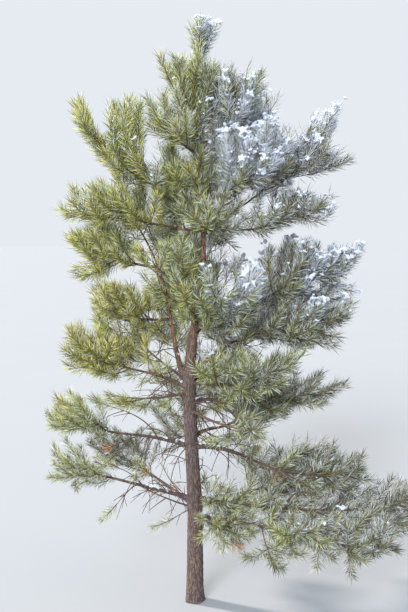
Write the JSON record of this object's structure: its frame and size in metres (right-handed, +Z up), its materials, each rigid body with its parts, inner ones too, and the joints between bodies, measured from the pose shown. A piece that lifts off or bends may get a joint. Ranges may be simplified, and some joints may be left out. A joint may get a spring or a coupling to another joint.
{
  "type": "young pine tree",
  "caption": "Young open-grown pine with a leaning trunk, whorled boughs and long needles in clumps, lightly dusted with snow, rooted in level ground.",
  "frame": {"origin": "middle of the flat cut where the trunk meets the ground", "axes": "+Z up the trunk, +X to the right and +Y to the back as the picture shows the tree"},
  "size_m": [1.5377, 1.2017, 2.3945],
  "materials": {
    "trunk_bark": "rough bark",
    "bough_bark": "flaky bark",
    "needles": "waxy matt",
    "snow": "powder"
  },
  "bodies": {
    "root": {"trunk": "trunk_bark", "bough_fifth_right": "bough_bark", "bough_fourth_back_left": "bough_bark", "bough_fourth_back_right": "bough_bark", "bough_fourth_left": "bough_bark", "bough_fourth_right": "bough_bark", "bough_low_back_left": "bough_bark", "bough_low_back_right": "bough_bark", "bough_low_left": "bough_bark", "bough_low_right": "bough_bark", "bough_low_right_front": "bough_bark", "bough_second_left": "bough_bark", "bough_second_right": "bough_bark", "bough_second_right_back": "bough_bark", "bough_sixth_left": "bough_bark", "bough_sixth_left_rising": "bough_bark", "bough_sixth_right": "bough_bark", "bough_sixth_right_rising": "bough_bark", "bough_third_right": "bough_bark", "side_stem_lower": "bough_bark", "side_stem_upper": "bough_bark", "needles_eighth_back": "needles", "needles_eighth_left": "needles", "needles_eighth_left_front": "needles", "needles_eighth_right": "needles", "needles_eighth_right_back": "needles", "needles_fifth_back": "needles", "needles_fifth_left_front": "needles", "needles_fifth_right": "needles", "needles_fifth_right_front": "needles", "needles_fourth_back_left": "needles", "needles_fourth_back_right": "needles", "needles_fourth_left": "needles", "needles_fourth_left_front": "needles", "needles_fourth_right": "needles", "needles_fourth_right_front": "needles", "needles_leader": "needles", "needles_low_back_left": "needles", "needles_low_back_right": "needles", "needles_low_left": "needles", "needles_low_right": "needles", "needles_low_right_front": "needles", "needles_second_back": "needles", "needles_second_left": "needles", "needles_second_right": "needles", "needles_second_right_back": "needles", "needles_seventh_left": "needles", "needles_seventh_right": "needles", "needles_side_stem_left": "needles", "needles_side_stem_middle": "needles", "needles_side_stem_top": "needles", "needles_sixth_back": "needles", "needles_sixth_front": "needles", "needles_sixth_left": "needles", "needles_sixth_left_rising": "needles", "needles_sixth_right": "needles", "needles_sixth_right_rising": "needles", "needles_third_right": "needles", "needles_third_right_front": "needles", "needles_top_front": "needles"}
  },
  "joints": []
}
